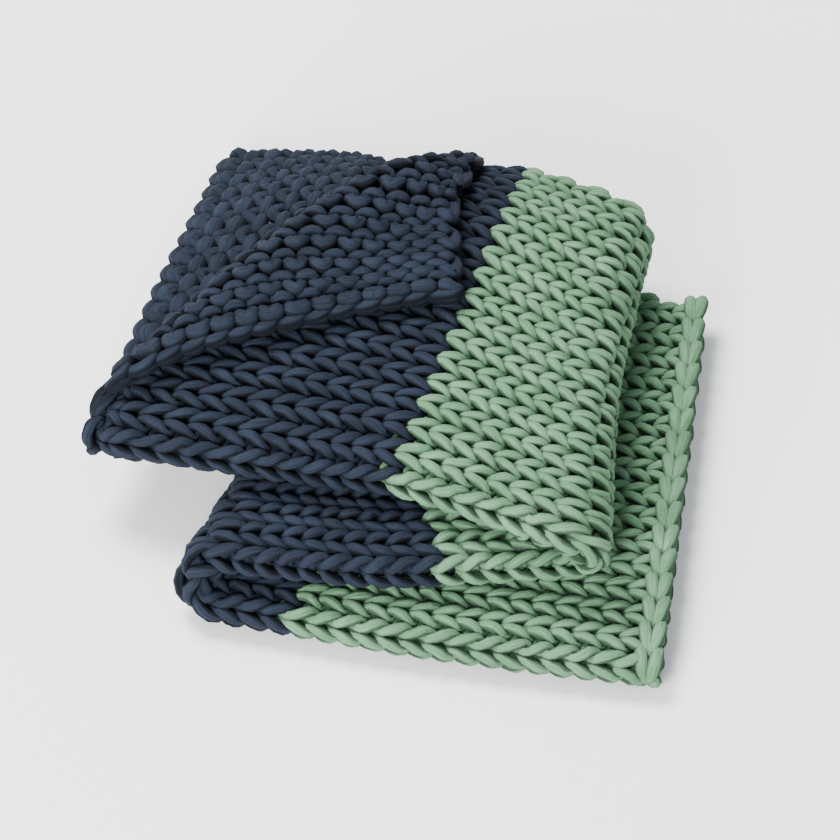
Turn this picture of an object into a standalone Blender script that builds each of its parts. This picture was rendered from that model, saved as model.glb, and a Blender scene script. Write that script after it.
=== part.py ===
"""Weighted blanket, hand-knitted from thick cotton tube yarn in four blocks of colour.

The blanket is doubled along its length with the fold at the front, and then laid back and forth
in three leaves: the top leaf runs left to right, the middle one right to left, and the bottom one
left to right. The back-left corner of the topmost layer is turned over diagonally.

Each block of colour starts as a flat slab of knitting at its full size, in the blanket's own
measures: along it from the cast-on edge, and across it from the front fold. The slab is scored
where the cloth will bend, and then each of its points is carried to where the folded cloth lies.

Metres, +Z up. The origin is under the middle of the stack, at the level that it stands on.
"""
from collections import namedtuple

import bmesh
import bpy
import numpy as np

# Gauge and flat size
ROW = 0.0297                 # one row of stitches, along the blanket
STITCH = 0.0375              # one column of stitches, across it
ROWS = 61
COLUMNS_ABOVE = 15.8         # columns of the upper layer, from the front fold to the side edge
COLUMNS_BELOW = 16.2         # columns of the lower layer
CLOTH = 0.0235               # thickness of the knitting
EDGE_ABOVE = COLUMNS_ABOVE * STITCH
EDGE_BELOW = COLUMNS_BELOW * STITCH

# Folding
HALF_DOUBLE = 0.0155         # from the middle of the doubled cloth to the middle of either layer
QUARTER_FOLD = HALF_DOUBLE * np.pi / 2
LEAF_STEP = 0.0615           # height from one leaf to the next
FOLD_ROWS = np.pi * LEAF_STEP / 2 / ROW
LEVEL_BOTTOM = HALF_DOUBLE + CLOTH / 2
LEVEL_MIDDLE = LEVEL_BOTTOM + LEAF_STEP
LEVEL_TOP = LEVEL_MIDDLE + LEAF_STEP
LEFT_FOLD_ROW_FRONT = 38.6   # row at which the left fold starts, at the front and at the back
LEFT_FOLD_ROW_BACK = 35.2
FRONT_DIP_REACH = 0.15       # share of a leaf's depth over which its front edge dips
SLIP_REACH = 0.26            # share of its depth over which its two layers come to lie slipped
PIECE_GAP = 0.0003

# Where each leaf lies. A section runs from the front fold to the back edge of the doubled cloth.
# bow moves its middle to the right; the front edge dips, and past the knee the back edge drops.
Section = namedtuple("Section", "row_front row_back x_front y_front x_back y_back bow "
                                "height dip knee drop")
TOP_LEAF = (
    Section(0.0, 0.0, -0.372, -0.035, -0.220, 0.525, 0.004, 0.128, 0.010, 0.22, 0.097),
    Section(6.5, 5.9, -0.172, -0.098, -0.035, 0.485, 0.000, 0.160, 0.012, 0.68, 0.095),
    Section(11.5, 10.4, -0.037, -0.120, 0.103, 0.422, 0.000, 0.161, 0.014, 0.66, 0.095),
    Section(13.6, 12.3, 0.022, -0.134, 0.162, 0.405, 0.000, 0.162, 0.012, 0.68, 0.068),
    Section(19.2, 17.3, 0.176, -0.200, 0.267, 0.344, -0.015, 0.152, 0.000, 0.76, 0.028),
    Section(20.6, 18.6, 0.216, -0.218, 0.294, 0.330, -0.020, LEVEL_TOP, 0.000, 0.76, 0.026),
)
MIDDLE_LEAF = (
    Section(0.0, 0.0, 0.216, -0.209, 0.288, 0.314, -0.020, LEVEL_MIDDLE, 0.0, 0.785, 0.0195),
    Section(0.5, 0.5, 0.000, -0.222, 0.100, 0.328, 0.000, LEVEL_MIDDLE, 0.0, 0.88, 0.022),
    Section(0.86, 0.86, -0.141, -0.208, -0.017, 0.331, 0.029, LEVEL_MIDDLE, 0.0, 0.90, 0.002),
    Section(1.0, 1.0, -0.196, -0.200, -0.060, 0.328, 0.039, LEVEL_MIDDLE, 0.0, 0.90, 0.000),
)
BOTTOM_LEAF = (
    Section(0.0, 0.0, -0.2126, -0.230, -0.0594, 0.308, 0.0412, LEVEL_BOTTOM, 0.0, 0.90, 0.000),
    Section(0.5, 0.5, 0.060, -0.288, 0.172, 0.271, 0.000, LEVEL_BOTTOM, 0.0, 0.90, 0.000),
    Section(1.0, 1.0, 0.336, -0.330, 0.410, 0.246, 0.000, LEVEL_BOTTOM, 0.0, 0.90, 0.000),
)
MIDDLE_OF_STACK = (0.0150, 0.0833)
SECTION_STEPS = 96           # points on each section, evenly spaced along the cloth

# The turned corner: the upper layer rolls over a ridge that starts at the front-left corner
RIDGE_FROM = (0.1 * ROW, 0.1 * STITCH)
RIDGE_ANGLE = np.radians(58.0)
RIDGE_LENGTH = 0.70
ROLL_RADII = (0.0150, 0.0270, 0.0125)    # at the ridge's start, middle and end
FLAP_REST = 0.030            # height of the flap's cloth above the cloth that it lies on
FLAP_SETTLE = 0.13           # length over which the flap comes down to it
FLAP_NARROWING = 0.125        # the flap's free edges are drawn in
FLAP_SHORTENING = 0.24
FLAP_NARROWED_AT = 0.15
FLAP_LAST_ROW = 20

# Blocks of colour: name, first row, last row, the yarn's colour
NAVY = (0.045, 0.060, 0.110)
SAGE = (0.300, 0.470, 0.340)
Block = namedtuple("Block", "name first last colour")
BLOCKS = (
    Block("navy_block_cast_on", 0.0, 13.0, NAVY),
    Block("green_block_right_fold", 13.0, 29.0, SAGE),
    Block("navy_block_left_fold", 29.0, 45.2, NAVY),
    Block("green_block_bind_off", 45.2, 61.0, SAGE),
)

# Scoring of the flat slabs
ROWS_PER_CELL = 2.0
COLUMNS_PER_CELL = 1.35
FRONT_FOLD_SCORES = 8
LEAF_FOLD_SCORES = 8
RIDGE_SCORES = 9
RIDGE_SCORE_STEP = 0.0105


def smooth_through(places, values, at):
    """Curve through values at the given places, read at the places in at."""
    places = np.asarray(places, float)
    slope = np.empty_like(values)
    span = (places[2:] - places[:-2]).reshape((-1,) + (1,) * (values.ndim - 1))
    slope[1:-1] = (values[2:] - values[:-2]) / span
    slope[0] = (values[1] - values[0]) / (places[1] - places[0])
    slope[-1] = (values[-1] - values[-2]) / (places[-1] - places[-2])
    left = np.clip(np.searchsorted(places, at, side="right") - 1, 0, len(places) - 2)
    step = places[left + 1] - places[left]
    u = (at - places[left]) / step
    if values.ndim == 1:
        v0, v1, m0, m1 = values[left], values[left + 1], slope[left], slope[left + 1]
    else:
        point = np.arange(len(at))
        v0, v1 = values[left, point], values[left + 1, point]
        m0, m1 = slope[left, point], slope[left + 1, point]
        u, step = u[:, None], step[:, None]
    return ((2 * u ** 3 - 3 * u ** 2 + 1) * v0 + (u ** 3 - 2 * u ** 2 + u) * step * m0
            + (3 * u ** 2 - 2 * u ** 3) * v1 + (u ** 3 - u ** 2) * step * m1)


def section_curve(section):
    """Points of one section, evenly spaced along the cloth from the front to the back."""
    t = np.linspace(0, 1, 2 * SECTION_STEPS)
    x = section.x_front + (section.x_back - section.x_front) * t + section.bow * 4 * t * (1 - t)
    y = section.y_front + (section.y_back - section.y_front) * t
    dip = np.clip(1 - t / FRONT_DIP_REACH, 0, 1) ** 2
    fall = np.clip((t - section.knee) / (1 - section.knee), 0, 1) ** 1.7
    z = section.height - section.dip * dip - section.drop * fall
    points = np.stack([x, y, z], axis=1)
    run = np.concatenate([[0], np.cumsum(np.linalg.norm(np.diff(points, axis=0), axis=1))])
    even = np.linspace(0, run[-1], SECTION_STEPS)
    return np.stack([np.interp(even, run, points[:, axis]) for axis in range(3)], axis=1)


TOP_CURVES, MIDDLE_CURVES, BOTTOM_CURVES = [
    np.array([section_curve(section) for section in leaf])
    for leaf in (TOP_LEAF, MIDDLE_LEAF, BOTTOM_LEAF)]
TOP_PLACES = [section.row_front / TOP_LEAF[-1].row_front for section in TOP_LEAF]
MIDDLE_PLACES = [section.row_front for section in MIDDLE_LEAF]
BOTTOM_PLACES = [section.row_front for section in BOTTOM_LEAF]


def on_leaf(curves, places, along, depth):
    """Points of a leaf: along it from 0 to 1, and in depth from 0 at the front to 1."""
    place = np.clip(depth, 0, 1) * (SECTION_STEPS - 1)
    low = np.clip(place.astype(int), 0, SECTION_STEPS - 2)
    part = (place - low)[:, None]
    across = curves[:, low] * (1 - part) + curves[:, low + 1] * part
    return smooth_through(places, across, along)


def in_fold(upper, lower, turned, depth):
    """Points of the half-turn from the end of one leaf to the start of the leaf below it."""
    (upper_curves, upper_places, upper_end), (lower_curves, lower_places, lower_end) = upper, lower
    inward = 0.02
    ones = np.ones(len(turned))
    start = on_leaf(upper_curves, upper_places, ones * upper_end, depth)
    end = on_leaf(lower_curves, lower_places, ones * lower_end, depth)
    line = (on_leaf(upper_curves, upper_places, ones * upper_end, depth + 0.01)
            - on_leaf(upper_curves, upper_places, ones * upper_end, depth - 0.01))
    square = np.cross(line, (0, 0, 1))
    square /= np.linalg.norm(square, axis=1, keepdims=True)
    start_way = start - on_leaf(upper_curves, upper_places, ones * (upper_end - inward), depth)
    end_way = end - on_leaf(lower_curves, lower_places, ones * (lower_end + inward), depth)
    start_way /= np.linalg.norm(start_way, axis=1, keepdims=True)
    end_way /= np.linalg.norm(end_way, axis=1, keepdims=True)
    down = ((1 - np.cos(turned)) / 2)[:, None]
    way = start_way * (1 - down) + end_way * down
    way[:, 2] = 0
    way /= np.abs((way * square).sum(axis=1, keepdims=True))
    radius = np.abs(start[:, 2] - end[:, 2])[:, None] / 2
    return start * (1 - down) + end * down + way * radius * np.sin(turned)[:, None]


def doubled_cloth(row, offset, depth):
    """Middle surface of the doubled cloth; a layer that is offset from it takes more or fewer
    rows round each fold, except at the front, where the two layers are one."""
    right_start = TOP_LEAF[-1].row_front + depth * (TOP_LEAF[-1].row_back - TOP_LEAF[-1].row_front)
    left_start = LEFT_FOLD_ROW_FRONT + depth * (LEFT_FOLD_ROW_BACK - LEFT_FOLD_ROW_FRONT)
    apart = np.clip(depth / SLIP_REACH, 0, 1)
    slip = offset * np.pi / ROW * apart ** 2 * (3 - 2 * apart)
    right_end = right_start + FOLD_ROWS + slip
    left_slipped = left_start + slip
    left_end = left_start + FOLD_ROWS
    top = row < right_start
    right = (row >= right_start) & (row < right_end)
    middle = (row >= right_end) & (row < left_slipped)
    left = (row >= left_slipped) & (row < left_end)
    bottom = row >= left_end
    points = np.zeros((len(row), 3))
    for here, curves, places, along in (
            (top, TOP_CURVES, TOP_PLACES, row / right_start),
            (middle, MIDDLE_CURVES, MIDDLE_PLACES, (row - right_end) / (left_slipped - right_end)),
            (bottom, BOTTOM_CURVES, BOTTOM_PLACES, (row - left_end) / (ROWS - left_end))):
        points[here] = on_leaf(curves, places, along[here], depth[here])
    for here, upper, lower, turned in (
            (right, (TOP_CURVES, TOP_PLACES, 1.0), (MIDDLE_CURVES, MIDDLE_PLACES, 0.0),
             np.pi * (row - right_start) / (right_end - right_start)),
            (left, (MIDDLE_CURVES, MIDDLE_PLACES, 1.0), (BOTTOM_CURVES, BOTTOM_PLACES, 0.0),
             np.pi * (row - left_slipped) / (left_end - left_slipped))):
        points[here] = in_fold(upper, lower, turned[here], depth[here])
    return points


def folded(row, across):
    """Middle surface of the knitting and its upward side, before the corner is turned."""
    turn = np.clip(np.pi / 2 - across / HALF_DOUBLE, 0, np.pi)
    offset = HALF_DOUBLE * np.cos(turn)
    forward = HALF_DOUBLE * np.sin(turn)
    reach = np.where(across > 0, EDGE_ABOVE, EDGE_BELOW) - QUARTER_FOLD
    depth = np.clip((np.abs(across) - QUARTER_FOLD) / reach, 0, 1)
    row_step, depth_step = 0.05, 0.001
    middle = doubled_cloth(row, offset, depth)
    along = (doubled_cloth(row + row_step, offset, depth)
             - doubled_cloth(row - row_step, offset, depth))
    back = (doubled_cloth(row, offset, np.clip(depth + depth_step, 0, 1))
            - doubled_cloth(row, offset, np.clip(depth - depth_step, 0, 1)))
    along /= np.linalg.norm(along, axis=1, keepdims=True)
    back /= np.linalg.norm(back, axis=1, keepdims=True)
    up = np.cross(along, back)
    up /= np.linalg.norm(up, axis=1, keepdims=True)
    return middle + up * offset[:, None] - np.cross(up, along) * forward[:, None], up


def ridge_measures(row, across):
    """Distance along the corner's ridge, and out past it towards the corner."""
    x = row * ROW - RIDGE_FROM[0]
    y = across - RIDGE_FROM[1]
    return (x * np.cos(RIDGE_ANGLE) + y * np.sin(RIDGE_ANGLE),
            y * np.cos(RIDGE_ANGLE) - x * np.sin(RIDGE_ANGLE))


def lay(row, across):
    """Middle surface of the knitting as it lies, with the corner turned over."""
    points, up = folded(row, across)
    along, past = ridge_measures(row, across)
    corner = (past > 0) & (across > 0) & (row < FLAP_LAST_ROW)
    if not corner.any():
        return points
    along, past = along[corner], past[corner]
    radius = smooth_through((0, RIDGE_LENGTH / 2, RIDGE_LENGTH), np.array(ROLL_RADII),
                            np.clip(along, 0, RIDGE_LENGTH))
    turned = np.clip(past / radius, 0, np.pi)
    lying = np.clip(past - np.pi * radius, 0, None)
    out = radius * np.sin(turned) - (1 - FLAP_SHORTENING) * lying
    along = along * (1 - FLAP_NARROWING * np.clip(past / FLAP_NARROWED_AT, 0, 1))
    settled = (1 - np.cos(np.pi * np.clip(lying / FLAP_SETTLE, 0, 1))) / 2
    rise = radius * (1 - np.cos(turned))
    rise = rise + (FLAP_REST - rise) * settled
    row_under = (RIDGE_FROM[0] + along * np.cos(RIDGE_ANGLE) - out * np.sin(RIDGE_ANGLE)) / ROW
    across_under = RIDGE_FROM[1] + along * np.sin(RIDGE_ANGLE) + out * np.cos(RIDGE_ANGLE)
    under, under_up = folded(row_under, np.clip(across_under, 0, EDGE_ABOVE))
    points[corner] = under + under_up * rise[:, None]
    return points


def thick_cloth(flat):
    """Carry points of a flat slab (along, across, through) to the folded blanket."""
    row, across, through = flat[:, 0] / ROW, flat[:, 1], flat[:, 2]
    row_step, across_step = 0.03, 0.001
    along = lay(row + row_step, across) - lay(row - row_step, across)
    back = lay(row, across + across_step) - lay(row, across - across_step)
    out = np.cross(along, back)
    out /= np.linalg.norm(out, axis=1, keepdims=True)
    return lay(row, across) + out * through[:, None]


def score(bm, place, direction, lowest=-1.0, highest=1.0):
    """Cut a line across the slab, through place and square to direction, so that it bends there.

    Only the faces between lowest and highest, measured across the blanket, are cut.
    """
    faces = [face for face in bm.faces if lowest < face.calc_center_median().y < highest]
    edges = {edge for face in faces for edge in face.edges}
    verts = {vert for face in faces for vert in face.verts}
    bmesh.ops.bisect_plane(bm, geom=faces + list(edges) + list(verts),
                           plane_co=(*place, 0), plane_no=(*direction, 0), dist=0.0004)


def flat_slab(block):
    """The block of colour as flat knitting, scored where it will bend."""
    start = block.first * ROW + PIECE_GAP / 2 * (block.first > 0)
    end = block.last * ROW - PIECE_GAP / 2 * (block.last < ROWS)
    cells_along = round((block.last - block.first) / ROWS_PER_CELL)
    cells_across = round((COLUMNS_ABOVE + COLUMNS_BELOW) / COLUMNS_PER_CELL)
    bm = bmesh.new()
    bmesh.ops.create_grid(bm, x_segments=cells_along, y_segments=cells_across, size=0.5)
    bmesh.ops.scale(bm, vec=(end - start, EDGE_ABOVE + EDGE_BELOW, 1), verts=bm.verts)
    middle = ((start + end) / 2, (EDGE_ABOVE - EDGE_BELOW) / 2, 0)
    bmesh.ops.translate(bm, vec=middle, verts=bm.verts)
    for step in range(FRONT_FOLD_SCORES + 1):
        across = QUARTER_FOLD * (2 * step / FRONT_FOLD_SCORES - 1)
        score(bm, (0, across), (0, 1))
    score_leaf_folds(bm, block)
    if block.first == 0:
        score_ridge(bm)
    bmesh.ops.solidify(bm, geom=bm.faces[:], thickness=CLOTH)
    bmesh.ops.recalc_face_normals(bm, faces=bm.faces)
    lowest = min(vert.co.z for vert in bm.verts)
    bmesh.ops.translate(bm, vec=(0, 0, -CLOTH / 2 - lowest), verts=bm.verts)
    return bm


def score_leaf_folds(bm, block):
    """Scores along the right and left folds, which run askew across the rows.

    The layer outside in a fold takes more rows round it than the layer inside.
    """
    slip = HALF_DOUBLE * np.pi / ROW
    upper_slipped = QUARTER_FOLD + SLIP_REACH * (EDGE_ABOVE - QUARTER_FOLD)
    lower_slipped = QUARTER_FOLD + SLIP_REACH * (EDGE_BELOW - QUARTER_FOLD)
    folds = ((TOP_LEAF[-1].row_front, TOP_LEAF[-1].row_back, 0, 0, slip, -slip),
             (LEFT_FOLD_ROW_FRONT, LEFT_FOLD_ROW_BACK, slip, -slip, 0, 0))
    for row_front, row_back, upper_start, lower_start, upper_end, lower_end in folds:
        if not block.first < row_front < block.last:
            continue
        for step in range(LEAF_FOLD_SCORES + 1):
            share = step / LEAF_FOLD_SCORES
            front = row_front + FOLD_ROWS * share
            upper = upper_start + (FOLD_ROWS + upper_end - upper_start) * share
            lower = lower_start + (FOLD_ROWS + lower_end - lower_start) * share
            row_slipped = row_front + SLIP_REACH * (row_back - row_front)
            line = [((row_back + upper) * ROW, EDGE_ABOVE),
                    ((row_slipped + upper) * ROW, upper_slipped),
                    (front * ROW, QUARTER_FOLD),
                    (front * ROW, -QUARTER_FOLD),
                    ((row_slipped + lower) * ROW, -lower_slipped),
                    ((row_back + lower) * ROW, -EDGE_BELOW)]
            for (x0, y0), (x1, y1) in zip(line, line[1:]):
                score(bm, (x0, y0), (y0 - y1, x1 - x0), lowest=y1, highest=y0)


def score_ridge(bm):
    """Scores along the ridge of the turned corner, on the upper layer only."""
    normal = (-np.sin(RIDGE_ANGLE), np.cos(RIDGE_ANGLE))
    for step in range(RIDGE_SCORES):
        place = [RIDGE_FROM[axis] + normal[axis] * RIDGE_SCORE_STEP * step for axis in range(2)]
        score(bm, place, normal, lowest=0.0)


def yarn_material(name, colour):
    material = bpy.data.materials.new(name)
    material.use_nodes = True
    shader = material.node_tree.nodes["Principled BSDF"]
    shader.inputs["Base Color"].default_value = (*colour, 1)
    shader.inputs["Roughness"].default_value = 0.9
    shader.inputs["Metallic"].default_value = 0.0
    return material


def knitted_block(block, collection):
    """One block of colour, folded with the rest of the blanket."""
    bm = flat_slab(block)
    flat = np.array([vert.co for vert in bm.verts])
    lying = thick_cloth(flat)
    for vert, place in zip(bm.verts, lying):
        vert.co = (place[0] - MIDDLE_OF_STACK[0], place[1] - MIDDLE_OF_STACK[1], place[2])
    bmesh.ops.triangulate(bm, faces=bm.faces)
    mesh = bpy.data.meshes.new(block.name)
    bm.to_mesh(mesh)
    bm.free()
    mesh.shade_smooth()
    mesh.materials.append(yarn_material(block.name + "_yarn", block.colour))
    blanket_piece = bpy.data.objects.new(block.name, mesh)
    collection.objects.link(blanket_piece)


def main():
    for old in list(bpy.data.objects):
        bpy.data.objects.remove(old)
    collection = bpy.data.collections.new("weighted_blanket")
    bpy.context.scene.collection.children.link(collection)
    for block in BLOCKS:
        knitted_block(block, collection)


main()
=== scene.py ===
"""Weighted blanket, hand-knitted from thick cotton tube yarn in four blocks of colour.

Each block is one long yarn, knitted in plain rows: it runs across the blanket through every
column of stitches, turns at the side edge and comes back in the next row. The stitches are laid
out on the flat blanket first, and carried to where the folded cloth lies. The same folding makes
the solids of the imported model.
"""

from collections import namedtuple

import bmesh
import bpy
import numpy as np
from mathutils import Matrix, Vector


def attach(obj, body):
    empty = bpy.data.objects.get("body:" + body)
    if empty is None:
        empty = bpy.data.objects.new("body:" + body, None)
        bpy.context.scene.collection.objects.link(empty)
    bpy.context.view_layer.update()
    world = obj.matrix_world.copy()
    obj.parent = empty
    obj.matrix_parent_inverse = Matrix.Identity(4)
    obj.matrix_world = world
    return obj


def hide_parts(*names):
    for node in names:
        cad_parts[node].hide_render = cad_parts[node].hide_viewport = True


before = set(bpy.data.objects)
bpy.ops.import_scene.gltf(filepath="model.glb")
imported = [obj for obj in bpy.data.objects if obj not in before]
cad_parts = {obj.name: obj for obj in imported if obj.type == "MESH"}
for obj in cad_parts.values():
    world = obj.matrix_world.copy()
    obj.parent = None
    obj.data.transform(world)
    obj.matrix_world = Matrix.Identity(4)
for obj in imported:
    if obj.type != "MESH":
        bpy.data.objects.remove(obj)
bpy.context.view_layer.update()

# Gauge and flat size, in metres
ROW = 0.0297                 # one row of stitches, along the blanket
STITCH = 0.0375              # one column of stitches, across it
ROWS = 61
COLUMNS = range(-16, 16)
COLUMN_PHASE = 0.3           # middle of column 0, in columns from the front fold
COLUMNS_ABOVE = 15.8
COLUMNS_BELOW = 16.2
EDGE_ABOVE = COLUMNS_ABOVE * STITCH
EDGE_BELOW = COLUMNS_BELOW * STITCH
CLOTH = 0.0235

# Folding
HALF_DOUBLE = 0.0155         # from the middle of the doubled cloth to the middle of either layer
QUARTER_FOLD = HALF_DOUBLE * np.pi / 2
LEAF_STEP = 0.0615           # height from one leaf to the next
FOLD_ROWS = np.pi * LEAF_STEP / 2 / ROW
LEVEL_BOTTOM = HALF_DOUBLE + CLOTH / 2
LEVEL_MIDDLE = LEVEL_BOTTOM + LEAF_STEP
LEVEL_TOP = LEVEL_MIDDLE + LEAF_STEP
LEFT_FOLD_ROW_FRONT = 38.6   # where the left fold starts, at the front and at the back
LEFT_FOLD_ROW_BACK = 35.2
FRONT_DIP_REACH = 0.15       # share of a leaf's depth over which it dips to the front fold
DROP_CURVE = 1.7             # how softly a leaf's back end starts to hang
SLIP_REACH = 0.26            # share of a leaf's depth over which its two layers slip apart

# Where each leaf lies. A section runs from the front fold to the back edge of the doubled cloth:
# it bows to the right in the middle, dips at the front and drops from its knee to the back edge.
# Its row is counted from the cast-on edge in the top leaf, and is a share of the others' length.
Section = namedtuple("Section", "row_front row_back x_front y_front x_back y_back bow "
                                "height dip knee drop")
TOP_LEAF = (
    Section(0.0, 0.0, -0.372, -0.035, -0.220, 0.525, 0.004, 0.128, 0.010, 0.22, 0.097),
    Section(6.5, 5.9, -0.172, -0.098, -0.035, 0.485, 0.000, 0.160, 0.012, 0.68, 0.095),
    Section(11.5, 10.4, -0.037, -0.120, 0.103, 0.422, 0.000, 0.161, 0.014, 0.66, 0.095),
    Section(13.6, 12.3, 0.022, -0.134, 0.162, 0.405, 0.000, 0.162, 0.012, 0.68, 0.068),
    Section(19.2, 17.3, 0.176, -0.200, 0.267, 0.344, -0.015, 0.152, 0.000, 0.76, 0.028),
    Section(20.6, 18.6, 0.216, -0.218, 0.294, 0.330, -0.020, LEVEL_TOP, 0.000, 0.76, 0.026),
)
MIDDLE_LEAF = (
    Section(0.0, 0.0, 0.216, -0.209, 0.288, 0.314, -0.020, LEVEL_MIDDLE, 0.0, 0.785, 0.0195),
    Section(0.5, 0.5, 0.000, -0.222, 0.100, 0.328, 0.000, LEVEL_MIDDLE, 0.0, 0.88, 0.022),
    Section(0.86, 0.86, -0.141, -0.208, -0.017, 0.331, 0.029, LEVEL_MIDDLE, 0.0, 0.90, 0.002),
    Section(1.0, 1.0, -0.196, -0.200, -0.060, 0.328, 0.039, LEVEL_MIDDLE, 0.0, 0.90, 0.000),
)
BOTTOM_LEAF = (
    Section(0.0, 0.0, -0.2126, -0.230, -0.0594, 0.308, 0.0412, LEVEL_BOTTOM, 0.0, 0.90, 0.000),
    Section(0.5, 0.5, 0.060, -0.288, 0.172, 0.271, 0.000, LEVEL_BOTTOM, 0.0, 0.90, 0.000),
    Section(1.0, 1.0, 0.336, -0.330, 0.410, 0.246, 0.000, LEVEL_BOTTOM, 0.0, 0.90, 0.000),
)
MIDDLE_OF_STACK = (0.0150, 0.0833)   # in the tables above
SECTION_STEPS = 96

# Small steps to either side of a point, by which its surface's directions are found
SIDE_STEP = 0.01             # in depth, at the end of a leaf
INWARD_STEP = 0.02           # along a leaf, from its end
FOLDED_ROW_STEP, FOLDED_DEPTH_STEP = 0.05, 0.001
LAID_ROW_STEP, LAID_ACROSS_STEP = 0.03, 0.001

# The turned corner: the upper layer rolls over a ridge that starts at the front-left corner
RIDGE_FROM = (0.1 * ROW, 0.1 * STITCH)
RIDGE_ANGLE = np.radians(58.0)
RIDGE_LENGTH = 0.70
ROLL_RADII = (0.0150, 0.0270, 0.0125)   # at its start, half way along and at its end
FLAP_REST = 0.030            # how high the turned cloth's middle lies over the cloth under it
FLAP_SETTLE = 0.13           # metres past the roll by which it has come to that height
FLAP_NARROWING = 0.125       # share by which it draws in along the ridge
FLAP_NARROWED_AT = 0.15      # metres past the ridge by which it has
FLAP_SHORTENING = 0.24       # share by which it draws in away from the ridge
FLAP_LAST_ROW = 20

# Blocks of colour: the node, its rows of stitches, and whether it casts on or binds off
Block = namedtuple("Block", "node first last yarn casts_on binds_off")
BLOCKS = (
    Block("navy_block_cast_on", 0, 12, "navy", True, False),
    Block("green_block_right_fold", 13, 28, "sage", False, False),
    Block("navy_block_left_fold", 29, 44, "navy", False, False),
    Block("green_block_bind_off", 45, 59, "sage", False, True),
)

# One stitch, from the middle of a sinker loop to the middle of the loop's head: columns from the
# stitch's middle line, rows from its foot, metres towards the knit side, and the yarn's fullness
Knot = namedtuple("Knot", "aside up out full")
HALF_STITCH = (
    Knot(0.50, -0.10, -0.0078, 1.16),
    Knot(0.37, -0.04, -0.0074, 1.14),
    Knot(0.26, 0.10, -0.0060, 1.08),
    Knot(0.17, 0.23, -0.0028, 0.98),
    Knot(0.115, 0.34, 0.0020, 0.80),
    Knot(0.125, 0.52, 0.0060, 0.82),
    Knot(0.20, 0.84, 0.0076, 0.99),
    Knot(0.30, 1.16, 0.0060, 0.94),
    Knot(0.385, 1.40, 0.0006, 0.78),
    Knot(0.34, 1.48, -0.0048, 1.00),
    Knot(0.20, 1.53, -0.0082, 1.22),
    Knot(0.00, 1.55, -0.0092, 1.32),
)
TURNED_HALF_STITCH = (       # on the corner that is turned over
    Knot(0.50, -0.07, -0.0088, 1.30),
    Knot(0.37, -0.03, -0.0083, 1.26),
    Knot(0.25, 0.12, -0.0066, 1.10),
    Knot(0.165, 0.26, -0.0030, 0.95),
    Knot(0.115, 0.37, 0.0020, 0.82),
    Knot(0.125, 0.54, 0.0056, 0.84),
    Knot(0.20, 0.84, 0.0070, 0.96),
    Knot(0.30, 1.14, 0.0056, 0.90),
    Knot(0.375, 1.36, 0.0014, 0.76),
    Knot(0.345, 1.46, -0.0038, 0.84),
    Knot(0.22, 1.53, -0.0068, 0.96),
    Knot(0.00, 1.56, -0.0078, 1.02),
)
ROW_PHASE = -0.27            # rows from the start of a row's count to its stitches' feet
TURNED_OVER = 0.03           # metres past the ridge to where stitches are wholly the turned ones
STITCH_PULL = (0.014, 0.020, 0.0004, 0.03)   # how much a stitch's knots vary
STITCH_FULLNESS_PULL = 0.03

# Where the yarn turns at a side edge: columns past the edge, rows up, out and full
SIDE_TURN = (
    Knot(0.07, -0.26, -0.0060, 1.10),
    Knot(0.16, 0.08, -0.0030, 1.20),
    Knot(0.18, 0.55, 0.0006, 1.22),
    Knot(0.13, 0.98, 0.0020, 1.10),
    Knot(0.03, 1.06, -0.0020, 0.95),
)

# The first row of loops is short and starts at the cast-on chain. Its sinker loops lie deeper.
FIRST_ROW_FOOT = 0.56
FIRST_ROW_HEIGHT = 0.9       # share of the room above its foot that it takes up
FIRST_SINKER_BELOW = 0.15
FIRST_SINKER_OUT = -0.0085
FIRST_SINKER_FULL = 1.40

# The lower layer shows its purl side at the back left, where the yarn is fuller
PURL_FULLNESS = 1.12
FIRST_ROWS_FULLNESS = 1.42
FIRST_ROWS = 2

# The yarn
MOST_TRIANGLES = 197000      # of one yarn; they set how many rings it has in a stitch
YARN_WIDTH = 0.0078          # half the yarn's width in the cloth
YARN_HEIGHT = 0.0069         # half its height, squashed between its neighbours
FINEST_STITCH = 34           # most rings in a stitch
SIDES = 7
FINE_STEPS = 6               # points for each ring when the path is first followed
BEND_SPAN = 7                # points over which its bend is evened out
BEND_FINENESS = 0.016        # metres: the tighter the yarn bends against this, the closer the rings
END_SHARE = 0.02             # width of the yarn's first and last ring
MERGE_DISTANCE = 0.00002
YARN_REACH = 0.978           # share of the cloth's half width that the middle of the yarn takes up
FOLD_SQUASH = 0.30           # how much flatter the knitting lies round the front fold
FOLD_DEPTH = 0.45            # how much deeper its purl side lies inside the fold
FLOOR_SOFTNESS = 0.0015      # how softly the lowest yarn flattens against the floor

# Chains along the two end edges. One leg of a chain stitch: share of the pitch along the edge,
# how far to the side of the chain's middle, how far out of it, and the yarn's fullness.
Leg = namedtuple("Leg", "along aside out full")
CHAIN_LEG = (
    Leg(0.00, 0.0016, -0.0030, 0.80),
    Leg(0.20, 0.0032, 0.0026, 1.00),
    Leg(0.58, 0.0068, 0.0062, 1.22),
    Leg(0.96, 0.0100, 0.0050, 1.14),
    Leg(1.20, 0.0104, -0.0010, 0.86),
    Leg(1.16, 0.0062, -0.0045, 0.78),
)
CHAIN_PULL = (0.012, 0.0003, 0.0003, 0.03)   # how much its legs vary
TILTED_ASIDE = 0.62          # the cast-on chain stands on the edge, with its legs closer together
TILTED_FULL_ABOVE = 0.80
TILTED_FULL_BELOW = 0.95
CHAIN_FOLD_SQUASH = 0.8      # how much flatter the bind-off chain lies round the front fold
CAST_ON_ROW = 0.36
BIND_OFF_ROW = 60.30
BIND_OFF_LIFT = 0.006

rng = np.random.default_rng(48)


def unit(vectors):
    return vectors / np.linalg.norm(vectors, axis=1, keepdims=True)


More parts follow.
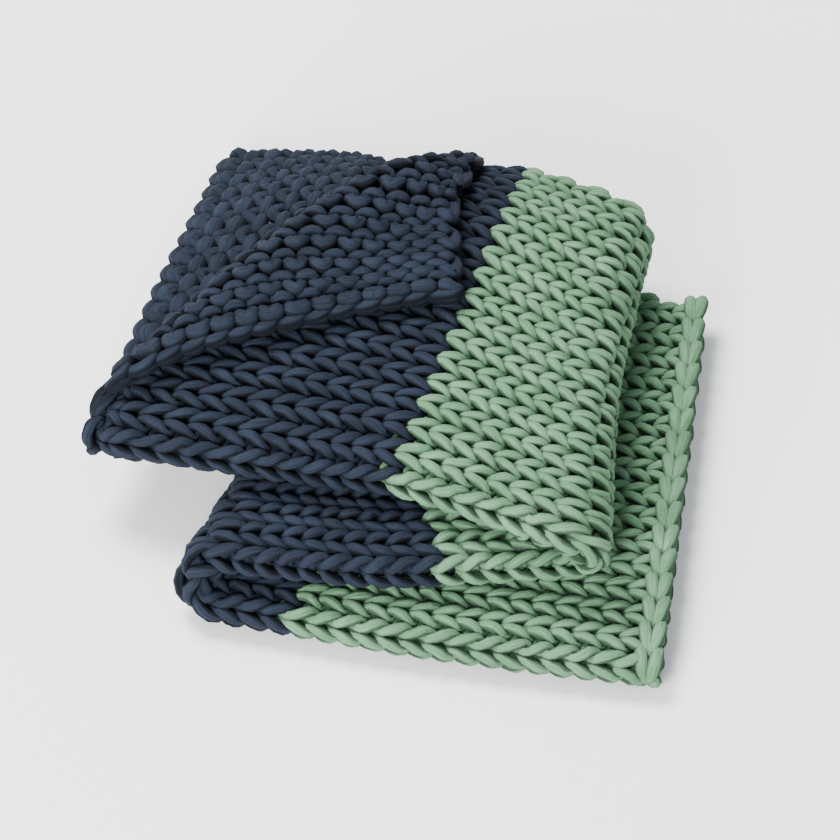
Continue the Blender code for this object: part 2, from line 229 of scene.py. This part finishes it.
def running_length(points):
    """Length of the path through the points, up to each of them."""
    return np.concatenate([[0], np.cumsum(np.linalg.norm(np.diff(points, axis=0), axis=1))])


def smooth_through(places, values, at):
    """Curve through values at the given places, read at the places in at."""
    places = np.asarray(places, float)
    slope = np.empty_like(values)
    span = (places[2:] - places[:-2]).reshape((-1,) + (1,) * (values.ndim - 1))
    slope[1:-1] = (values[2:] - values[:-2]) / span
    slope[0] = (values[1] - values[0]) / (places[1] - places[0])
    slope[-1] = (values[-1] - values[-2]) / (places[-1] - places[-2])
    left = np.clip(np.searchsorted(places, at, side="right") - 1, 0, len(places) - 2)
    step = places[left + 1] - places[left]
    u = (at - places[left]) / step
    if values.ndim == 1:
        v0, v1, m0, m1 = values[left], values[left + 1], slope[left], slope[left + 1]
    else:
        point = np.arange(len(at))
        v0, v1 = values[left, point], values[left + 1, point]
        m0, m1 = slope[left, point], slope[left + 1, point]
        u, step = u[:, None], step[:, None]
    return ((2 * u ** 3 - 3 * u ** 2 + 1) * v0 + (u ** 3 - 2 * u ** 2 + u) * step * m0
            + (3 * u ** 2 - 2 * u ** 3) * v1 + (u ** 3 - u ** 2) * step * m1)


def section_curve(section):
    """Points of one section, evenly spaced along the cloth from the front to the back."""
    t = np.linspace(0, 1, 2 * SECTION_STEPS)
    x = section.x_front + (section.x_back - section.x_front) * t + section.bow * 4 * t * (1 - t)
    y = section.y_front + (section.y_back - section.y_front) * t
    dip = np.clip(1 - t / FRONT_DIP_REACH, 0, 1) ** 2
    fall = np.clip((t - section.knee) / (1 - section.knee), 0, 1) ** DROP_CURVE
    z = section.height - section.dip * dip - section.drop * fall
    points = np.stack([x, y, z], axis=1)
    run = running_length(points)
    even = np.linspace(0, run[-1], SECTION_STEPS)
    return np.stack([np.interp(even, run, points[:, axis]) for axis in range(3)], axis=1)


TOP_CURVES, MIDDLE_CURVES, BOTTOM_CURVES = [
    np.array([section_curve(section) for section in leaf])
    for leaf in (TOP_LEAF, MIDDLE_LEAF, BOTTOM_LEAF)]
TOP_PLACES = [section.row_front / TOP_LEAF[-1].row_front for section in TOP_LEAF]
MIDDLE_PLACES = [section.row_front for section in MIDDLE_LEAF]
BOTTOM_PLACES = [section.row_front for section in BOTTOM_LEAF]


def on_leaf(curves, places, along, depth):
    """Points of a leaf: along it from 0 to 1, and in depth from 0 at the front to 1."""
    place = np.clip(depth, 0, 1) * (SECTION_STEPS - 1)
    low = np.clip(place.astype(int), 0, SECTION_STEPS - 2)
    part = (place - low)[:, None]
    across = curves[:, low] * (1 - part) + curves[:, low + 1] * part
    return smooth_through(places, across, along)


def in_fold(upper, lower, turned, depth):
    """Points of the half-turn from the end of one leaf to the start of the leaf below it."""
    (upper_curves, upper_places, upper_end), (lower_curves, lower_places, lower_end) = upper, lower
    ones = np.ones(len(turned))
    start = on_leaf(upper_curves, upper_places, ones * upper_end, depth)
    end = on_leaf(lower_curves, lower_places, ones * lower_end, depth)
    line = (on_leaf(upper_curves, upper_places, ones * upper_end, depth + SIDE_STEP)
            - on_leaf(upper_curves, upper_places, ones * upper_end, depth - SIDE_STEP))
    square = unit(np.cross(line, (0, 0, 1)))
    start_way = start - on_leaf(upper_curves, upper_places, ones * (upper_end - INWARD_STEP),
                                depth)
    end_way = end - on_leaf(lower_curves, lower_places, ones * (lower_end + INWARD_STEP),
                            depth)
    down = ((1 - np.cos(turned)) / 2)[:, None]
    way = unit(start_way) * (1 - down) + unit(end_way) * down
    way[:, 2] = 0
    way /= np.abs((way * square).sum(axis=1, keepdims=True))
    radius = np.abs(start[:, 2] - end[:, 2])[:, None] / 2
    return start * (1 - down) + end * down + way * radius * np.sin(turned)[:, None]


def doubled_cloth(row, offset, depth):
    """Middle surface of the doubled cloth; a layer that is offset from it takes more or fewer
    rows round each fold, except at the front, where the two layers are one."""
    right_start = TOP_LEAF[-1].row_front + depth * (TOP_LEAF[-1].row_back - TOP_LEAF[-1].row_front)
    left_start = LEFT_FOLD_ROW_FRONT + depth * (LEFT_FOLD_ROW_BACK - LEFT_FOLD_ROW_FRONT)
    apart = np.clip(depth / SLIP_REACH, 0, 1)
    slip = offset * np.pi / ROW * apart ** 2 * (3 - 2 * apart)
    right_end = right_start + FOLD_ROWS + slip
    left_slipped = left_start + slip
    left_end = left_start + FOLD_ROWS
    top = row < right_start
    right = (row >= right_start) & (row < right_end)
    middle = (row >= right_end) & (row < left_slipped)
    left = (row >= left_slipped) & (row < left_end)
    bottom = row >= left_end
    points = np.zeros((len(row), 3))
    for here, curves, places, along in (
            (top, TOP_CURVES, TOP_PLACES, row / right_start),
            (middle, MIDDLE_CURVES, MIDDLE_PLACES, (row - right_end) / (left_slipped - right_end)),
            (bottom, BOTTOM_CURVES, BOTTOM_PLACES, (row - left_end) / (ROWS - left_end))):
        points[here] = on_leaf(curves, places, along[here], depth[here])
    for here, upper, lower, turned in (
            (right, (TOP_CURVES, TOP_PLACES, 1.0), (MIDDLE_CURVES, MIDDLE_PLACES, 0.0),
             np.pi * (row - right_start) / (right_end - right_start)),
            (left, (MIDDLE_CURVES, MIDDLE_PLACES, 1.0), (BOTTOM_CURVES, BOTTOM_PLACES, 0.0),
             np.pi * (row - left_slipped) / (left_end - left_slipped))):
        points[here] = in_fold(upper, lower, turned[here], depth[here])
    return points


def folded(row, across):
    """Middle surface of the knitting and its upward side, before the corner is turned."""
    turn = np.clip(np.pi / 2 - across / HALF_DOUBLE, 0, np.pi)
    offset = HALF_DOUBLE * np.cos(turn)
    forward = HALF_DOUBLE * np.sin(turn)
    reach = np.where(across > 0, EDGE_ABOVE, EDGE_BELOW) - QUARTER_FOLD
    depth = np.clip((np.abs(across) - QUARTER_FOLD) / reach, 0, 1)
    beyond = np.clip(np.abs(across) - QUARTER_FOLD - reach, 0, None)
    middle = doubled_cloth(row, offset, depth)
    along = unit(doubled_cloth(row + FOLDED_ROW_STEP, offset, depth)
                 - doubled_cloth(row - FOLDED_ROW_STEP, offset, depth))
    back = unit(doubled_cloth(row, offset, np.clip(depth + FOLDED_DEPTH_STEP, 0, 1))
                - doubled_cloth(row, offset, np.clip(depth - FOLDED_DEPTH_STEP, 0, 1)))
    up = unit(np.cross(along, back))
    points = middle + up * offset[:, None] - np.cross(up, along) * forward[:, None]
    return points + back * beyond[:, None], up


def ridge_measures(row, across):
    """Distance along the corner's ridge, and out past it towards the corner."""
    x = row * ROW - RIDGE_FROM[0]
    y = across - RIDGE_FROM[1]
    return (x * np.cos(RIDGE_ANGLE) + y * np.sin(RIDGE_ANGLE),
            y * np.cos(RIDGE_ANGLE) - x * np.sin(RIDGE_ANGLE))


def lay(row, across):
    """Middle surface of the knitting as it lies, with the corner turned over."""
    points, up = folded(row, across)
    along, past = ridge_measures(row, across)
    corner = (past > 0) & (across > 0) & (row < FLAP_LAST_ROW)
    if not corner.any():
        return points
    along, past = along[corner], past[corner]
    radius = smooth_through((0, RIDGE_LENGTH / 2, RIDGE_LENGTH), np.array(ROLL_RADII),
                            np.clip(along, 0, RIDGE_LENGTH))
    turned = np.clip(past / radius, 0, np.pi)
    lying = np.clip(past - np.pi * radius, 0, None)
    out = radius * np.sin(turned) - (1 - FLAP_SHORTENING) * lying
    along = along * (1 - FLAP_NARROWING * np.clip(past / FLAP_NARROWED_AT, 0, 1))
    settled = (1 - np.cos(np.pi * np.clip(lying / FLAP_SETTLE, 0, 1))) / 2
    rise = radius * (1 - np.cos(turned))
    rise = rise + (FLAP_REST - rise) * settled
    row_under = (RIDGE_FROM[0] + along * np.cos(RIDGE_ANGLE) - out * np.sin(RIDGE_ANGLE)) / ROW
    across_under = RIDGE_FROM[1] + along * np.sin(RIDGE_ANGLE) + out * np.cos(RIDGE_ANGLE)
    under, under_up = folded(row_under, np.clip(across_under, 0, EDGE_ABOVE))
    points[corner] = under + under_up * rise[:, None]
    return points


def in_place(flat):
    """Carry points (row, across, out) to the folded blanket, with the knit side's direction."""
    row, across, through = flat.T
    across = across * YARN_REACH
    near_fold = np.exp(-(across / QUARTER_FOLD) ** 2)
    through = through * (1 + np.where(through > 0, -FOLD_SQUASH, FOLD_DEPTH) * near_fold)
    along = lay(row + LAID_ROW_STEP, across) - lay(row - LAID_ROW_STEP, across)
    back = lay(row, across + LAID_ACROSS_STEP) - lay(row, across - LAID_ACROSS_STEP)
    out = unit(np.cross(along, back))
    places = lay(row, across) + out * through[:, None]
    return places - np.array([MIDDLE_OF_STACK[0], MIDDLE_OF_STACK[1], 0]), out


def even_points(knots, steps):
    """Rings along a smooth path through the knots (columns: row, across, out, full), set closer
    where the path bends."""
    run = running_length(knots[:, :3] * (ROW, 1, 1))
    at = np.linspace(0, run[-1], steps * FINE_STEPS + 1)
    fine = np.stack([smooth_through(run, knots[:, axis].copy(), at) for axis in range(4)], axis=1)
    way = np.diff(fine[:, :3], axis=0) * (ROW, 1, 1)
    length = np.linalg.norm(way, axis=1)
    heading = way / length[:, None]
    bend = np.linalg.norm(np.diff(heading, axis=0), axis=1)
    bend = np.convolve(np.concatenate([bend[:1], bend]), np.ones(BEND_SPAN) / BEND_SPAN,
                       mode="same")
    run = np.concatenate([[0], np.cumsum(length + BEND_FINENESS * bend)])
    even = np.linspace(0, run[-1], steps + 1)
    return np.stack([np.interp(even, run, fine[:, axis]) for axis in range(4)], axis=1)


def knitted_row(row):
    """Knots of the yarn through one row of stitches, from the lower side edge to the upper."""
    knots = []
    for column in COLUMNS:
        past = ridge_measures(row + 1, (column + COLUMN_PHASE) * STITCH)[1]
        on_corner = column > 0 and row < FLAP_LAST_ROW
        turned = float(np.clip(past / TURNED_OVER, 0, 1)) if on_corner else 0.0
        half = np.array(HALF_STITCH) * (1 - turned) + np.array(TURNED_HALF_STITCH) * turned
        whole = np.concatenate([half * (-1, 1, 1, 1), half[-2:0:-1]])
        stitch = whole + rng.normal(0, 1, whole.shape) * STITCH_PULL
        full = stitch[:, 3] * (1 + rng.normal(0, STITCH_FULLNESS_PULL))
        if column < 0 and row < FLAP_LAST_ROW:
            full *= FIRST_ROWS_FULLNESS if row < FIRST_ROWS else PURL_FULLNESS
        level = row + ROW_PHASE + stitch[:, 1]
        if row == 0:
            lowest, highest = ROW_PHASE + half[0, 1], ROW_PHASE + half[-1, 1]
            shorter = (1 - FIRST_ROW_FOOT / highest) * FIRST_ROW_HEIGHT
            level = FIRST_ROW_FOOT + (level - lowest) * shorter
            sinker = stitch[:, 1] < FIRST_SINKER_BELOW
            stitch[:, 2] = np.where(sinker, FIRST_SINKER_OUT, stitch[:, 2])
            full = np.where(sinker, FIRST_SINKER_FULL, full)
        across = (column + COLUMN_PHASE + stitch[:, 0]) * STITCH
        knots.append(np.stack([level, across, stitch[:, 2], full], axis=1))
    return np.concatenate(knots)


def block_yarn(block):
    """Knots of the whole yarn of a block: row, across, out, full."""
    knots = []
    for row in range(block.first, block.last + 1):
        forwards = (row - block.first) % 2 == 0
        knots.append(knitted_row(row)[::1 if forwards else -1])
        if row == block.last:
            continue
        edge, side = (EDGE_ABOVE, 1) if forwards else (-EDGE_BELOW, -1)
        level = max(row + ROW_PHASE, FIRST_ROW_FOOT)
        knots.append(np.array([
            (level + up * (row + 1 + ROW_PHASE - level), edge + side * aside * STITCH, out, full)
            for aside, up, out, full in SIDE_TURN]))
    return np.concatenate(knots)


def ribbon_grid(name, rings, sides):
    """A grid as long as the yarn's rings and as wide as its girth, to be bent into a tube."""
    bm = bmesh.new()
    bm.loops.layers.uv.new("yarn")
    bmesh.ops.create_grid(bm, x_segments=rings - 1, y_segments=sides, size=0.5, calc_uvs=True)
    mesh = bpy.data.meshes.new(name)
    bm.to_mesh(mesh)
    bm.free()
    return mesh


def yarn_tube(name, knots, stitches):
    """One yarn along the knots, folded with the blanket."""
    stitch_rings = min(MOST_TRIANGLES // (2 * SIDES * stitches), FINEST_STITCH)
    rings = even_points(knots, stitches * stitch_rings)
    centre, out = in_place(rings[:, :3])
    run = running_length(centre)
    forward = unit(np.gradient(centre, axis=0))
    aside = unit(np.cross(forward, out))
    over = unit(np.cross(aside, forward))
    count = len(rings)
    mesh = ribbon_grid(name, count, SIDES)
    flat = np.empty(len(mesh.vertices) * 3)
    mesh.vertices.foreach_get("co", flat)
    flat = flat.reshape(-1, 3)
    ring = np.rint((flat[:, 0] + 0.5) * (count - 1)).astype(int)
    side = np.rint((flat[:, 1] + 0.5) * SIDES).astype(int) % SIDES
    angle = side / SIDES * 2 * np.pi
    full = rings[ring, 3] * np.where((ring == 0) | (ring == count - 1), END_SHARE, 1.0)
    placed = (centre[ring] + aside[ring] * (YARN_WIDTH * full * np.cos(angle))[:, None]
              + over[ring] * (YARN_HEIGHT * full * np.sin(angle))[:, None])
    placed[:, 2] = (placed[:, 2] + np.sqrt(placed[:, 2] ** 2 + 4 * FLOOR_SOFTNESS ** 2)) / 2
    mesh.vertices.foreach_set("co", placed.ravel())
    uv = mesh.uv_layers["yarn"].data
    spread = np.empty(len(uv) * 2)
    uv.foreach_get("uv", spread)
    spread = spread.reshape(-1, 2)
    spread[:, 0] = run[np.rint(spread[:, 0] * (count - 1)).astype(int)]
    uv.foreach_set("uv", spread.ravel())
    bm = bmesh.new()
    bm.from_mesh(mesh)
    bmesh.ops.remove_doubles(bm, verts=bm.verts, dist=MERGE_DISTANCE)
    bmesh.ops.holes_fill(bm, edges=[edge for edge in bm.edges if edge.is_boundary])
    bmesh.ops.recalc_face_normals(bm, faces=bm.faces)
    bm.to_mesh(mesh)
    bm.free()
    mesh.shade_smooth()
    yarn = bpy.data.objects.new(name, mesh)
    bpy.context.scene.collection.objects.link(yarn)
    return yarn


def chain_leg(row, lift, side, tilted):
    """Knots of one line of slanting legs along an end edge of the blanket."""
    knots = []
    for column in COLUMNS:
        for leg in CHAIN_LEG:
            along, aside, out, full = np.array(leg) + rng.normal(0, 1, 4) * CHAIN_PULL
            across = (column + COLUMN_PHASE - 0.5 + along) * STITCH
            if tilted:
                aside *= TILTED_ASIDE
                full *= TILTED_FULL_ABOVE if column >= 0 else TILTED_FULL_BELOW
                knots.append((row - out / ROW, across, lift + side * aside, full))
            else:
                near_fold = np.exp(-(across / (2 * QUARTER_FOLD)) ** 2)
                knots.append((row + side * aside / ROW, across,
                              (lift + out) * (1 - CHAIN_FOLD_SQUASH * near_fold), full))
    return np.array(knots)


# Materials
def add(nodes, kind, operation=None, **values):
    """A node with its operation and the values of its inputs (given by name)."""
    node = nodes.new("ShaderNode" + kind)
    if operation:
        node.operation = operation
    for name, value in values.items():
        node.inputs[name.replace("_", " ")].default_value = value
    return node


def yarn_relief_group():
    """Fine lengthwise ribs, a soft crease here and there, and fuzz on the yarn's jersey; its colour
    has painted shade on the yarn's two flanks.
    """
    group = bpy.data.node_groups.new("Jersey tube yarn", "ShaderNodeTree")
    interface = group.interface
    # Flank shade sets how dark the painted shade on the yarn's two flanks is
    for socket, kind, value in (("Colour", "NodeSocketColor", (0.5, 0.5, 0.5, 1)),
                                ("Shadow colour", "NodeSocketColor", (0.2, 0.2, 0.2, 1)),
                                ("Light colour", "NodeSocketColor", (0.8, 0.8, 0.8, 1)),
                                ("Rib depth", "NodeSocketFloat", 0.0032),
                                ("Crease depth", "NodeSocketFloat", 0.0036),
                                ("Flank shade", "NodeSocketFloat", 0.30)):
        item = interface.new_socket(socket, in_out="INPUT", socket_type=kind)
        item.default_value = value
    interface.new_socket("Colour", in_out="OUTPUT", socket_type="NodeSocketColor")
    interface.new_socket("Normal", in_out="OUTPUT", socket_type="NodeSocketVector")
    nodes, links = group.nodes, group.links
    inputs = nodes.new("NodeGroupInput")
    outputs = nodes.new("NodeGroupOutput")
    uv = nodes.new("ShaderNodeUVMap")
    uv.uv_map = "yarn"
    place = nodes.new("ShaderNodeTexCoord")

    # Ribs and creases run along the yarn; fuzz and soft clouds don't
    ribs = add(nodes, "TexNoise", Scale=1.0, Detail=3.0)
    creases = add(nodes, "TexNoise", Scale=1.0, Detail=3.0, Distortion=0.6)
    for noise, scale in ((ribs, (34.0, 20.0, 1.0)), (creases, (60.0, 2.6, 1.0))):
        stretch = add(nodes, "Mapping", Scale=scale)
        links.new(uv.outputs["UV"], stretch.inputs["Vector"])
        links.new(stretch.outputs["Vector"], noise.inputs["Vector"])
    fuzz = add(nodes, "TexNoise", Scale=900.0, Detail=3.0)
    clouds = add(nodes, "TexNoise", Scale=22.0, Detail=4.0)
    for noise in (fuzz, clouds):
        links.new(place.outputs["Object"], noise.inputs["Vector"])

    # Light and shadow colours follow the ribs and the clouds
    cloud_share = add(nodes, "Math", "MULTIPLY")
    cloud_share.inputs[1].default_value = 0.45
    links.new(clouds.outputs["Fac"], cloud_share.inputs[0])
    lightness = add(nodes, "Math", "MULTIPLY_ADD")
    lightness.inputs[1].default_value = 0.55
    links.new(ribs.outputs["Fac"], lightness.inputs[0])
    links.new(cloud_share.outputs["Value"], lightness.inputs[2])
    spread = add(nodes, "MapRange", From_Min=0.37, From_Max=0.63)
    links.new(lightness.outputs["Value"], spread.inputs["Value"])
    darker = nodes.new("ShaderNodeMix")
    darker.data_type = "RGBA"
    links.new(spread.outputs["Result"], darker.inputs["Factor"])
    links.new(inputs.outputs["Shadow colour"], darker.inputs["A"])
    links.new(inputs.outputs["Light colour"], darker.inputs["B"])
    mixed = nodes.new("ShaderNodeMix")
    mixed.data_type = "RGBA"
    mixed.inputs["Factor"].default_value = 0.75
    links.new(inputs.outputs["Colour"], mixed.inputs["A"])
    links.new(darker.outputs["Result"], mixed.inputs["B"])

    # Painted shade: the yarn's colour is darkened on its two flanks, where strands press against
    # each other and shut out the light
    girth = nodes.new("ShaderNodeSeparateXYZ")
    links.new(uv.outputs["UV"], girth.inputs["Vector"])
    angle = add(nodes, "Math", "MULTIPLY")
    angle.inputs[1].default_value = 2 * np.pi
    links.new(girth.outputs["Y"], angle.inputs[0])
    sideways = add(nodes, "Math", "COSINE")
    links.new(angle.outputs["Value"], sideways.inputs[0])
    flank = add(nodes, "Math", "ABSOLUTE")
    links.new(sideways.outputs["Value"], flank.inputs[0])
    flank_painted_shade = add(nodes, "MapRange", From_Min=0.60, From_Max=1.0, To_Min=1.0)
    flank_painted_shade.interpolation_type = "SMOOTHSTEP"
    links.new(inputs.outputs["Flank shade"], flank_painted_shade.inputs["To Max"])
    links.new(flank.outputs["Value"], flank_painted_shade.inputs["Value"])
    shaded = add(nodes, "VectorMath", "SCALE")
    links.new(mixed.outputs["Result"], shaded.inputs[0])
    links.new(flank_painted_shade.outputs["Result"], shaded.inputs["Scale"])
    links.new(shaded.outputs["Vector"], outputs.inputs["Colour"])

    # Relief, from the ribs through the creases to the fuzz
    rib_bump = add(nodes, "Bump", Strength=0.8)
    links.new(inputs.outputs["Rib depth"], rib_bump.inputs["Distance"])
    crease_bump = add(nodes, "Bump", Strength=0.9)
    links.new(inputs.outputs["Crease depth"], crease_bump.inputs["Distance"])
    fuzz_bump = add(nodes, "Bump", Strength=0.7, Distance=0.0012)
    for noise, bump in ((ribs, rib_bump), (creases, crease_bump), (fuzz, fuzz_bump)):
        links.new(noise.outputs["Fac"], bump.inputs["Height"])
    links.new(rib_bump.outputs["Normal"], crease_bump.inputs["Normal"])
    links.new(crease_bump.outputs["Normal"], fuzz_bump.inputs["Normal"])
    links.new(fuzz_bump.outputs["Normal"], outputs.inputs["Normal"])
    return group


def yarn_material(name, group, colour, shadow, light):
    material = bpy.data.materials.new(name)
    material.use_nodes = True
    nodes, links = material.node_tree.nodes, material.node_tree.links
    shader = nodes["Principled BSDF"]
    jersey = nodes.new("ShaderNodeGroup")
    jersey.node_tree = group
    for socket, value in (("Colour", colour), ("Shadow colour", shadow), ("Light colour", light)):
        jersey.inputs[socket].default_value = (*value, 1)
    links.new(jersey.outputs["Colour"], shader.inputs["Base Color"])
    links.new(jersey.outputs["Normal"], shader.inputs["Normal"])
    for socket, value in (("Roughness", 0.88), ("Specular IOR Level", 0.15),
                          ("Sheen Weight", 0.14), ("Sheen Roughness", 0.45),
                          ("Sheen Tint", (*light, 1))):
        shader.inputs[socket].default_value = value
    return material


jersey_group = yarn_relief_group()
YARNS = {
    "navy": yarn_material("Navy cotton jersey yarn", jersey_group,
                          colour=(0.0098, 0.0144, 0.0246), shadow=(0.0050, 0.0074, 0.0130),
                          light=(0.0170, 0.0243, 0.0415)),
    "sage": yarn_material("Sage green cotton jersey yarn", jersey_group,
                          colour=(0.089, 0.190, 0.103), shadow=(0.060, 0.138, 0.070),
                          light=(0.146, 0.272, 0.163)),
}

# The blanket
for block in BLOCKS:
    row_count = block.last - block.first + 1
    pieces = [yarn_tube(block.node + "_yarn", block_yarn(block), row_count * len(COLUMNS))]
    if block.casts_on:
        pieces += [yarn_tube("cast_on_chain_" + name, chain_leg(CAST_ON_ROW, 0.0, side, True),
                             len(COLUMNS)) for name, side in (("knit_side", 1), ("purl_side", -1))]
    if block.binds_off:
        pieces += [yarn_tube("bind_off_chain_" + name,
                             chain_leg(BIND_OFF_ROW, BIND_OFF_LIFT, side, False),
                             len(COLUMNS)) for name, side in (("inner", -1), ("outer", 1))]
    for piece in pieces:
        piece.data.materials.append(YARNS[block.yarn])
        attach(piece, "root")
        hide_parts(block.node)

# Floor, backdrop and light
floor_mesh = bpy.data.meshes.new("floor")
bm = bmesh.new()
bmesh.ops.create_grid(bm, x_segments=1, y_segments=1, size=8)
bm.to_mesh(floor_mesh)
bm.free()
floor = bpy.data.objects.new("floor", floor_mesh)
bpy.context.scene.collection.objects.link(floor)
floor_material = bpy.data.materials.new("Pale floor")
floor_material.use_nodes = True
floor_shader = floor_material.node_tree.nodes["Principled BSDF"]
floor_shader.inputs["Base Color"].default_value = (0.90, 0.90, 0.90, 1)
floor_shader.inputs["Roughness"].default_value = 0.9
floor.data.materials.append(floor_material)


def soft_light(name, place, size, power):
    """A round lamp that points at the middle of the blanket's foot."""
    data = bpy.data.lights.new(name, "AREA")
    data.shape = "DISK"
    data.size = size
    data.energy = power
    lamp = bpy.data.objects.new(name, data)
    bpy.context.scene.collection.objects.link(lamp)
    lamp.location = place
    lamp.rotation_euler = (-Vector(place)).to_track_quat("-Z", "Y").to_euler()


soft_light("key", (-1.7, 2.2, 5.2), size=2.8, power=740)
soft_light("fill", (-2.2, -4.3, 2.2), size=3.0, power=670)
world = bpy.data.worlds.new("Studio")
world.use_nodes = True
world.node_tree.nodes["Background"].inputs["Color"].default_value = (0.93, 0.95, 1.0, 1)
world.node_tree.nodes["Background"].inputs["Strength"].default_value = 0.96
bpy.context.scene.world = world

# The photograph's camera: 51 degrees above the horizon, from the front, 6 m away
ELEVATION = np.radians(51.0)
DISTANCE = 6.0
AIM = Vector((0.023, -0.0343, 0.040))
view = Vector((0, np.cos(ELEVATION), -np.sin(ELEVATION)))
camera_data = bpy.data.cameras.new("camera")
camera_data.sensor_width = 36
camera_data.lens = 203.4
camera = bpy.data.objects.new("camera", camera_data)
bpy.context.scene.collection.objects.link(camera)
camera.location = AIM - view * DISTANCE
camera.rotation_euler = (np.pi / 2 - ELEVATION, 0, 0)
bpy.context.scene.camera = camera
